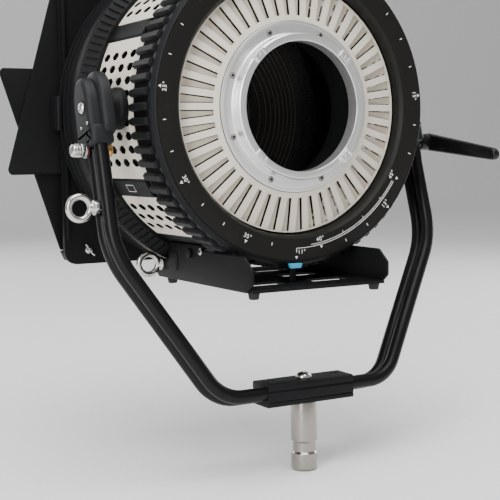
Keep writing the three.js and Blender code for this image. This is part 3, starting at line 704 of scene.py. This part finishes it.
side_rows = [4.95 * i for i in range(-4, 5)]
shell("sheet_left", -26.1, 26.1, side_rows, "shell_left")
shell("sheet_right", 153.9, 206.1, [180 + a for a in side_rows], "shell_right")
shell("sheet_top", 33.9, 146.1, [90 + 5.1 * i for i in range(-10, 11)], "shell_top")
low_rows = [-39, -44.1, -49.2]
shell("sheet_low_left", -54.8, -33.9, low_rows, "shell_lower_left")
shell("sheet_low_right", 213.9, 234.8, [180 - a for a in low_rows], "shell_lower_right")
for hand, a in (("upper_left", 30), ("upper_right", 150), ("lower_left", -30), ("lower_right", 210)):
    k = arc_block(Kit(), 165.5, 171.2, a - 3.6, a + 3.6, FRONT, REAR, 8)
    arc_block(k, 170.5, 172.1, a - 3.1, a + 3.1, FRONT + 1, REAR - 1, 8)
    piece(f"band_{hand}", k, "head", POWDER, [f"tie_band_{hand}"], bevel=0.5)
k = Kit()
for a0, a1, y0, y1 in ((-31.5, -31.25, -104, -124), (-28.75, -28.5, -104, -124),
                       (-31.5, -28.5, -104, -104.7), (-31.5, -28.5, -123.3, -124)):
    arc_block(k, 172.1, 172.16, a0, a1, y0, y1, 3)
piece("band_label", k, "head", PRINT)
k = lathe(Kit(), fillet([(141.5, -22), (168.8, -22), (168.8, -66.9), (163, -66.9), (163, -34),
                         (141.5, -34)], 0.6, 2), about_y, 180)
piece("support_ring", k, "head", POWDER, ["rear_support_ring"])

# ---- zoom ring -----------------------------------------------------------------------------
k = lathe(Kit(), [(170.1, -17.6), (171.3, -17.6), (171.3, -19.2), (170.6, -20), (170.6, -56),
                  (170.1, -56)], about_y, 216)
# the skirt's faces behind the ribs take the painted shade
k.m = [1 if max(k.v[j][1] for j in f) < -19 else 0 for f in k.f]
RIBS, RIB_ROOT = 72, 170.3
# Y, radius of the top, half width of the root and of the top
RIB_STATIONS = ((-17.7, 173.4, 4.9, 3.6), (-18.6, 175.6, 4.9, 3.1), (-30, 175.8, 4.9, 3.0),
                (-31.5, 175.2, 4.9, 3.0), (-55, 175.0, 4.8, 2.9), (-58, 174.6, 4.7, 2.7),
                (-63.6, 173.4, 4.0, 2.1), (-64.8, 172.2, 3.4, 1.8))
for i in range(RIBS):
    verts = []
    for y, top_r, w0, w1 in RIB_STATIONS:
        for r, w in ((RIB_ROOT, -w0), (top_r - 0.5, -w1 - 0.3), (top_r, -w1 + 0.3),
                     (top_r, w1 - 0.3), (top_r - 0.5, w1 + 0.3), (RIB_ROOT, w0)):
            a = math.radians(i * 360 / RIBS) + w / r
            verts.append((r * math.cos(a), y, AXIS + r * math.sin(a)))
    last = 6 * (len(RIB_STATIONS) - 1)
    faces = [(0, 1, 2, 3, 4, 5), tuple(last + j for j in range(6))[::-1]]
    for s in range(len(RIB_STATIONS) - 1):
        for j in range(6):
            m = (j + 1) % 6
            faces.append((6 * s + j, 6 * s + m, 6 * s + 6 + m, 6 * s + 6 + j))
    k.put(verts, faces)
piece("grip_ribs", k, "zoom_ring", [GRIP, RIB_GAP_SHADE], ["zoom_grip"], angle=30)
k = Kit()
lip = [(169.0, -50), (169.8, -50), (169.9, -63), (171, -67.4), (170.1, -67.4), (169.0, -63)]
for a0, a1 in ((-26.1, 26.1), (33.9, 146.1), (153.9, 206.1), (213.9, 234.8), (305.2, 326.1)):
    arc_profile(k, lip, a0, a1, int((a1 - a0) / 1.5))
piece("sheet_lip", k, "head", SAND)

outline = fillet(
    [(138.2, -20.5), (139.4, -12), (143, -7), (165.6, -7), (166.0, -7.9), (167.0, -7.9),
     (167.4, -7.2), (168.6, -8.2), (171.2, -12.2), (171.7, -14.5), (171.7, -17.5), (169, -17.5),
     (169, -20.5)], [0, 3, 2.6, .15, .1, .1, .15, .8, 1, 1, .3, 0, 0], 4)
k = lathe(Kit(), outline, about_y, 256)
k.m = [1 if min(math.hypot(k.v[j][0], k.v[j][2] - AXIS) for j in f) > 166.1 else 0 for f in k.f]
piece("dial_ring", k, "zoom_ring", [DIAL, GRIP], ["zoom_dial"], angle=30)


PRINT_Y = -6.88               # the dial's face is at -7
TEXT_SIZE = 6.6


def dial_point(phi, r):
    """phi is measured from the bottom of the dial towards -X, in degrees."""
    a = math.radians(phi)
    return (-r * math.sin(a), PRINT_Y, AXIS - r * math.cos(a))


def lap_radius(phi):
    """The scale winds inwards on its second lap."""
    return max(149.0, 159.6 - max(0.0, phi - 272) * 0.125)


def stroke(kit, phi, r0, r1, width):
    a = math.degrees(width / 2 / ((r0 + r1) / 2))
    kit.put([dial_point(phi - a, r0), dial_point(phi + a, r0), dial_point(phi + a, r1),
             dial_point(phi - a, r1)], [(0, 1, 2, 3)])


def label(kit, text, phi, r, shift=0.0):
    curve = bpy.data.curves.new("label", "FONT")
    curve.body, curve.size = text, TEXT_SIZE
    curve.align_x, curve.align_y = "CENTER", "CENTER"
    curve.offset, curve.space_character = 0.04, 1.12
    holder = bpy.data.objects.new("label", curve)
    bpy.context.collection.objects.link(holder)
    evaluated = holder.evaluated_get(bpy.context.evaluated_depsgraph_get())
    me = evaluated.to_mesh()
    a = math.radians(phi)
    cx, _, cz = dial_point(phi, r)
    f = 1 if math.cos(a) > 0 else -1        # the upper half reads from outside
    kit.put([(cx + (f * v.co.x + shift) * -math.cos(a) + f * v.co.y * math.sin(a), PRINT_Y,
              cz + (f * v.co.x + shift) * math.sin(a) + f * v.co.y * math.cos(a))
             for v in me.vertices],
            [tuple(p.vertices) for p in me.polygons])
    evaluated.to_mesh_clear()
    bpy.data.objects.remove(holder)
    bpy.data.curves.remove(curve)


def arrow(kit, phi, r):
    a = math.degrees(1.9 / r)
    kit.put([dial_point(phi - a, r - 1.6), dial_point(phi + a, r - 1.6), dial_point(phi, r + 1.8)],
            [(0, 1, 2)])


FIRST_MARK, LAST_MARK = -1, 419            # degrees of ring turn
MARK_STEP = 12
names = {-1: "11°", 47: "13°", 95: "15°", 167: "20°", 263: "25°",
         299: "30°", 335: "35°", 371: "40°", 419: "45°"}
scale = Kit()
for phi in range(FIRST_MARK, LAST_MARK + 1, MARK_STEP):
    r = lap_radius(phi)
    if phi in names:
        if phi == FIRST_MARK:
            label(scale, names[phi], phi, 157.0, shift=6.6)
            arrow(scale, phi, 163.0)
        else:
            label(scale, names[phi], phi, r - 0.8 if phi < 360 else 146.6)
            arrow(scale, phi, r + 5.0 if phi < 360 else 155.4)
    elif phi not in (11, 59, 359):
        if phi > 371:
            stroke(scale, phi, 147.6, 150.2, 0.5)
        else:
            stroke(scale, phi, r - 1.7, r + 1.7, 0.9)
for r0, w, start in ((152.7, 0.6, -1), (150.4, 0.5, 6)):        # overlap band of the two laps
    n = 90
    ring = []
    for i in range(n + 1):
        phi = start + (57 - start) * i / n
        ring += [dial_point(phi, r0 - w / 2), dial_point(phi, r0 + w / 2)]
    scale.put(ring, [(2 * i, 2 * i + 1, 2 * i + 3, 2 * i + 2) for i in range(n)])
stroke(scale, -1, 152.6, 157.4, 0.8)
for i in range(62):
    phi = 7 + i * 0.8
    if abs(phi - 30) > 1.2:
        scale.put([dial_point(phi, 150.8), dial_point(phi + 0.1, 150.8), dial_point(phi + 0.6, 152.3),
                   dial_point(phi + 0.5, 152.3)], [(0, 1, 2, 3)])
piece("dial_print", scale, "zoom_ring", PRINT)
k = Kit()
for i in range(6):
    cx, _, cz = dial_point(-90 + 60 * i, 155.2)
    place = facing_rear(cx, cz)
    # each screw is a dimple of painted shade round a hexagon in grip black
    lathe(k, [(0, -6.9), (2.2, -6.9), (2.3, -6.75), (1.9, -6.72), (1.7, -6.86), (0, -6.86)], place,
          28, 0, closed=False)
    lathe(k, [(0, -6.84), (1.45, -6.84), (1.45, -6.8), (0, -6.8)], place, 6, 1, closed=False)
piece("dial_screws", k, "zoom_ring", [RECESS_SHADE, GRIP])

# ---- rear carriage -------------------------------------------------------------------------
outline = fillet(
    [(69.7, -11), (69.7, 5.3), (77, 5.3), (78.5, 3.6), (78.5, -9.2), (79.6, -10), (92, -10),
     (92, -18), (76, -18), (76, -11)], [.5, 1, 1, .8, .8, .5, .7, 0, 0, .5], 4)
k = lathe(Kit(), outline, about_y, 224)
lathe(k, [(89.2, -9.99), (89.4, -9.9), (90.6, -9.9), (90.8, -9.99)], about_y, 160)
for a in (45, 135, 225, 315):
    c, s = math.cos(math.radians(a)), math.sin(math.radians(a))
    lug = lambda u, v, h: (u * c - v * s, h, AXIS + u * s + v * c)
    prism(k, fillet([(70.6, -7.5), (80, -7.5), (80, 7.5), (70.6, 7.5)], 1.2, 3), 3.2, 8.4, lug,
          (0.3, 0.8), 3)
    for v in (-5.6, 5.6):
        prism(k, fillet([(71.4, v - 1.6), (79, v - 1.6), (79, v + 1.6), (71.4, v + 1.6)], 0.6, 2), 7,
              9.7, lug, (0.1, 0.6), 2)
    lathe(k, [(0, 9.3), (1.6, 9.3), (1.9, 8.2), (0, 8.2)],
          lambda u, v, h: lug(75.4 + u, v, h), 20, closed=False)
piece("flange_mount", k, "carriage", PALE, ["mount_flange"], angle=30)
k = Kit()
SCREW_CIRCLE = 83.8
for i in range(8):
    a = math.radians(22.5 + 45 * i)
    place = facing_rear(SCREW_CIRCLE * math.cos(a), AXIS + SCREW_CIRCLE * math.sin(a))
    # a disc of painted shade round each screw head, and another in its hexagon socket
    lathe(k, [(0, -9.95), (3.5, -9.95), (3.5, -9.9), (0, -9.9)], place, 32, 1, closed=False)
    lathe(k, fillet([(0, -9.9), (3.0, -9.9), (3.0, -9.5), (2.3, -9.1), (1.5, -9.0), (1.5, -9.4),
                     (0, -9.4)], [0, .1, .2, .3, 0, 0, 0], 2), place, 32, 0, closed=False)
    lathe(k, [(0, -9.39), (1.5, -9.39), (1.5, -9.35), (0, -9.35)], place, 6, 1, closed=False)
# a thin ring of painted shade in the gap between the flange's rim and the grille
lathe(k, [(92.05, -11.2), (92.45, -11.2), (92.45, -11.9), (92.05, -11.9)], about_y, 192, 1)
piece("flange_screws", k, "carriage", [SCREW, RECESS_SHADE])
k = lathe(Kit(), [(80, -18.3), (84, -18.3), (84, -60), (80, -60)], about_y, 160)
piece("sleeve", k, "carriage", POWDER, ["carriage_sleeve"])


GRILLE_IN, GRILLE_OUT = 92.5, 136.3


def cone(r, y0):
    """Y on the dished grille, which falls 8 mm from its inner to its outer edge."""
    return y0 - (r - 92.4) * 8 / (GRILLE_OUT - 92.4)


def polar(r, a, y):
    return (r * math.cos(a), y, AXIS + r * math.sin(a))


k = Kit()
SLOTS = 48
SLOT_ROWS = ((98.5, 2.9), (108, 3.5), (120, 4.2), (134.6, 5.1))     # radius, half width
for i in range(SLOTS):        # one sector at a time: a slot and half a bar on either side
    a = 2 * math.pi * (i + 0.5) / SLOTS
    half = math.pi / SLOTS
    for y0 in (-12, -14):
        rows = [(GRILLE_IN, None), *SLOT_ROWS, (GRILLE_OUT, None)]
        for (r0, w0), (r1, w1) in zip(rows, rows[1:]):
            for sign in (-1, 1):
                if w0 is None or w1 is None:
                    q = [(r0, a), (r0, a + sign * half), (r1, a + sign * half), (r1, a)]
                    w = w1 if w0 is None else w0
                    rr = r1 if w0 is None else r0
                    mid = (rr, a + sign * math.asin(w / rr))
                    q = q[:3] + [mid, q[3]] if w0 is None else [q[0], mid] + q[1:]
                else:
                    q = [(r0, a + sign * math.asin(w0 / r0)), (r0, a + sign * half),
                         (r1, a + sign * half), (r1, a + sign * math.asin(w1 / r1))]
                k.put([polar(r, t, cone(r, y0)) for r, t in q], [tuple(range(len(q)))])
    (near, _), (far, _) = SLOT_ROWS[0], SLOT_ROWS[-1]
    slot = [*((r, -w) for r, w in SLOT_ROWS), (far, 0), *SLOT_ROWS[::-1], (near, 0)]
    ring = [(r, a + math.asin(w / r)) for r, w in slot]
    verts = [polar(r, t, cone(r, y)) for y in (-12, -14) for r, t in ring]
    k.put(verts, [(j, (j + 1) % 10, 10 + (j + 1) % 10, 10 + j) for j in range(10)])
for r in (GRILLE_IN, GRILLE_OUT):
    n = SLOTS * 2
    verts = [polar(r, 2 * math.pi * j / n, cone(r, y)) for y in (-12, -14) for j in range(n)]
    k.put(verts, [(j, (j + 1) % n, n + (j + 1) % n, n + j) for j in range(n)])
piece("grille_plate", k, "carriage", SAND, ["rear_grille"], angle=25)
k = Kit()
for i in range(SLOTS):        # a vane stands behind each slot
    a = 2 * math.pi * (i + 0.5) / SLOTS
    verts = []
    for y in (-16.4, -17.4):
        for r, w in ((96, -1.7), (136, -4.1), (136, 4.1), (96, 1.7)):
            verts.append(polar(r, a + math.asin(w / r), cone(r, y)))
    k.put(verts, [(0, 1, 2, 3), (7, 6, 5, 4), (0, 4, 5, 1), (1, 5, 6, 2), (2, 6, 7, 3), (3, 7, 4, 0)])
lathe(k, [(93.5, -14.2), (96.5, -16.6), (96.5, -18.2), (93.5, -18)], about_y, 96)
lathe(k, [(134.8, -22), (136.2, -22), (136.2, -25.8), (134.8, -25.6)], about_y, 192)
# the vanes and their rings take the darkened sand as painted shade
piece("grille_vanes", k, "carriage", VANE_SHADE, angle=25)

# ---- hubs ----------------------------------------------------------------------------------
for side, hand in ((1, "left"), (-1, "right")):
    k = lathe(Kit(), fillet([(0, 171.4), (22.6, 171.4), (22.6, 177.6), (21.2, 180.4), (20.4, 188.5),
                             (0, 188.5)], [0, .8, 1.5, 1.5, .8, 0], 4), about_x(TILT_Y, AXIS, side), 72,
              closed=False)
    piece(f"hub_disc_{hand}", k, "head", POWDER, [f"hub_{hand}"])

# ---- base bracket --------------------------------------------------------------------------
BOTTOM, PLATE = 200.8, 3
side_outline = fillet(
    [(-184, BOTTOM), (28, BOTTOM), (40, 209.8), (40, 224.8), (24, 238), (-66, 238), (-69, 243.6),
     (-148, 243.6), (-150, 224), (-184, 222)], [6, 4, 5, 5, 6, 1, 2, 6, 3, 12], 5)
for x0, hand in ((83.5, "left"), (-86.5, "right")):
    k = prism(Kit(), side_outline, x0, x0 + PLATE, on_yz, 0.7, 3)
    if hand == "left":        # raised boss by the eye bolt and two fixings on top
        prism(k, fillet([(-152, 211), (-128, 211), (-128, 234), (-152, 234)], 7, 5), 86.3, 87.1,
              on_yz, (0, 0.5), 2)
        lathe(k, fillet([(0, 86.4), (5.4, 86.4), (5.4, 90), (0, 90)], [0, .4, 1, 0], 3),
              about_x(-97, 234), 32, closed=False)
    piece(f"base_cheek_{hand}", k, "head", SHEET, [f"base_{hand}"])
k = Kit()
cap_screw(k, about_x(-70, 237.5), 86.5, 4.2)
piece("base_screw", k, "head", [STEEL, RECESS_SHADE])
floor_outline = [(-83.2, -180), (83.2, -180), (83.2, 36), (-83.2, 36)]
slots = []
for y in (-16, -78, -140):
    for x in (-41, 41):
        slanted = [(x - 26, y - 13), (x + 20, y - 13), (x + 26, y + 13), (x - 20, y + 13)]
        slots.append(fillet(slanted, 3, 4))
k = pierced(Kit(), floor_outline, slots, [], lambda x, y: (x, y, BOTTOM + PLATE),
            lambda x, y: (x, y, BOTTOM))
piece("base_floor", k, "head", SHEET, ["base_bottom"], bevel=0.3)
for sx, hand in ((1, "left"), (-1, "right")):
    for y, place in ((26, "rear"), (-164, "front")):
        k = lathe(Kit(), fillet([(0, 193.6), (5, 193.6), (6.4, 200.5), (0, 200.5)], [0, 1, .4, 0], 3),
                  about_z(sx * 76, y), 40, closed=False)
        piece(f"pad_{hand}_{place}", k, "head", RUBBER, [f"foot_{hand}_{place}"])
k = arc_block(Kit(), 165, 171, 235.1, 304.9, FRONT, REAR, 40)
for a in (242, 256, 270, 284, 298):
    arc_block(k, 170.5, 173.5, a - 1, a + 1, FRONT + 4, REAR - 4, 4)
piece("cradle", k, "head", POWDER, ["belly_cradle"], bevel=0.6)
k = prism(Kit(), fillet([(-12, 204.1), (-7.5, 204.1), (-7.5, 219.1), (-10, 219.1)],
                        [1, 1, 1, 1], 3), 3, 10, on_yz, 0.8, 3)
piece("index_post", k, "head", SHEET, ["pointer_post"])
k = prism(Kit(), fillet([(0.4, 219.4), (12.6, 219.4), (14.6, 224.9), (-1.6, 224.9)], 0.8, 3), -7, -1,
          on_xz, 0.7, 3)
piece("index_mark", k, "head", BLUE, ["index_pointer"])

# ---- accessory ears, latch, barn door -------------------------------------------------------
hook = fillet([(184.4, -238), (184.4, -226), (190, -226), (190, -252.4), (175.5, -252.4),
               (175.5, -249.4), (184.4, -249.4)], [.5, .5, 2.5, 2.5, .8, .8, .8], 4)
for hand, a in (("left", 0), ("right", 180), ("bottom", 270)):
    c, s = math.cos(math.radians(a)), math.sin(math.radians(a))
    k = prism(Kit(), hook, -20, 20, lambda u, y, h: (u * c - h * s, y, AXIS + u * s + h * c), 0.8, 3)
    piece(f"slot_{hand}", k, "head", POWDER, [f"ear_{hand}"])
k = prism(Kit(), fillet([(-225.5, 578.2), (-249.4, 578.2), (-249.4, 569), (-252.4, 569),
                         (-252.4, 581.5), (-225.5, 581.5)], [.8, .8, .8, .8, 2, .8], 4), -22, 22, on_yz,
          0.7, 3)
piece("latch_top", k, "latch", STEEL, ["top_latch"])

HALF = 179.0                  # half the side of the square frame
outline = fillet([(-HALF, AXIS - HALF), (HALF, AXIS - HALF), (HALF, AXIS + HALF),
                  (-HALF, AXIS + HALF)], 16, 12)
k = pierced(Kit(), outline, [circle(0, AXIS, 166, 128)], [], lambda x, z: (x, -243, z),
            lambda x, z: (x, -249, z))
for x in (-HALF + 2, HALF - 5):           # folded side rims
    box(k, (x, -248.8, AXIS - 150), (x + 3, -238.5, AXIS + 150), 0.6)
piece("door_frame", k, "head", SHEET, ["barn_frame"], bevel=0.8)
k = Kit()
wx, wz = 150, AXIS - 162
place = facing_rear(wx, wz)
lathe(k, fillet([(0, -242.7), (4.6, -242.7), (4.6, -239), (2.8, -237), (2.8, -234), (0, -234)],
                [0, .4, .6, .6, .6, 0], 3), place, 40, closed=False)
for s in (-1, 1):
    prism(k, fillet([(2.2 * s, -239.5), (4.6 * s, -240.5), (9.2 * s, -236.6), (8.8 * s, -234),
                     (6.6 * s, -233.8), (2.2 * s, -236.5)], 0.8, 3), -1.1, 1.1,
          lambda u, y, h: (wx - u * 0.62 - h * 0.78, y, wz - u * 0.78 + h * 0.62), 0.5, 3)
piece("wing_screw", k, "head", STEEL, ["frame_wing_screw"])


def rod(kit, r, x0, x1, y, z):
    """A round bar along X."""
    lathe(kit, [(0, x0), (r, x0), (r, x1), (0, x1)], about_x(y, z), 32, closed=False)


# name, which way the closed leaf points, its height and half width, and Y of its hinge
for name, up_, reach, tip, y in (("top", -1, 238, 241.5, -254), ("bottom", 1, 220.5, 247, -260)):
    z = AXIS - up_ * 167
    k = Kit()
    rod(k, 2.0, -170, 170, y, z)
    prism(k, [(-249.3, z - up_ * 4.2), (y + 1, z - up_ * 4.2), (y + 1, z - up_ * 7),
              (-249.3, z - up_ * 7)], -172, 172, on_yz, 0.4, 2)
    for x in (-150, 0, 150):
        rod(k, 3.6, x - 14, x + 14, y, z)
        prism(k, [(y, z), (y + 2.8, z), (y + 2.8, z - up_ * 5), (y + 1, z - up_ * 5)], x - 14, x + 14,
              on_yz, 0.2, 1)
    for s in (-1, 1):
        prism(k, fillet([(s * 170, z - up_ * 7), (s * 175, z - up_ * 7), (s * 180.4, z + up_ * 4.5),
                         (s * 170, z + up_ * 4.5)], 1, 2), -257.4 if name == "bottom" else -251.6,
              -249.4, on_xz, 0.4, 2)
    piece(f"rail_{name}", k, "head", SHEET, [f"hinge_rail_{name}"])
    k = Kit()
    plane = y - 2
    points = [(-177.5, z + up_ * 4.6), (177.5, z + up_ * 4.6), (tip, z + up_ * (reach - 5)),
              (tip - 4, z + up_ * reach), (4 - tip, z + up_ * reach), (-tip, z + up_ * (reach - 5))]
    edge = fillet(points, [3, 3, 8, 4, 4, 8], 6)
    prism(k, edge, plane - 1.6, plane, on_xz, 0.45, 2)
    for x in (-75, 75):
        lathe(k, [(2.4, x - 60), (3.6, x - 60), (3.6, x + 60), (2.4, x + 60)], about_x(y, z), 32)
        prism(k, [(plane - 1.5, z + up_ * 2.4), (plane - 0.1, z + up_ * 2.4),
                  (plane - 0.1, z + up_ * 6), (plane - 1.5, z + up_ * 6)], x - 60, x + 60, on_yz, 0.2, 1)
    piece(f"door_{name}", k, f"{'upper' if name == 'top' else 'lower'}_leaf", SHEET,
          [f"leaf_{name}"])

# ---- studio --------------------------------------------------------------------------------
backdrop = Kit()
WIDE, COVE_Y, COVE_R, FLOOR_Z, TALL = 14000, -4000, 1500, -1.0, 5000
cove = [(COVE_Y - COVE_R * math.sin(t * math.pi / 24), FLOOR_Z + COVE_R - COVE_R * math.cos(
    t * math.pi / 24)) for t in range(12, 0, -1)]
profile = [(COVE_Y - COVE_R, TALL), *cove, (COVE_Y, FLOOR_Z), (WIDE, FLOOR_Z)]
verts = [(x, y, z) for y, z in profile for x in (-WIDE, WIDE)]
backdrop.put(verts, [(2 * i, 2 * i + 1, 2 * i + 3, 2 * i + 2) for i in range(len(profile) - 1)])
floor = bpy.data.objects.new("floor", mesh_of("floor", backdrop, [material(
    "floor_pale", (0.93, 0.93, 0.93), 0.6, grain=40, bump=0.0, vary=0.01)], 60))
bpy.context.collection.objects.link(floor)

world = bpy.data.worlds.new("studio")
bpy.context.scene.world = world
world.use_nodes = True
world.node_tree.nodes["Background"].inputs["Color"].default_value = (1, 1, 1, 1)
world.node_tree.nodes["Background"].inputs["Strength"].default_value = 0.38


def area_light(name, where, aim, size, power):
    """A rectangular light, in metres and watts, pointed at a place."""
    light = bpy.data.lights.new(name, "AREA")
    light.shape, light.energy = "RECTANGLE", power
    light.size, light.size_y = size
    ob = bpy.data.objects.new(name, light)
    bpy.context.collection.objects.link(ob)
    ob.location = where
    ob.rotation_euler = (Vector(aim) - Vector(where)).to_track_quat("-Z", "Y").to_euler()


area_light("top", (0.3, 0.6, 2.6), (0, 0, 0.4), (2.2, 2.2), 85)
area_light("key_left", (2.4, 1.6, 1.2), (0, -0.1, 0.35), (1.0, 1.8), 62)
area_light("side_right", (-2.3, -0.6, 1.1), (0, -0.1, 0.35), (0.9, 1.8), 34)
area_light("front_fill", (0.6, -2.8, 1.4), (0, 0, 0.35), (2.0, 1.6), 24)
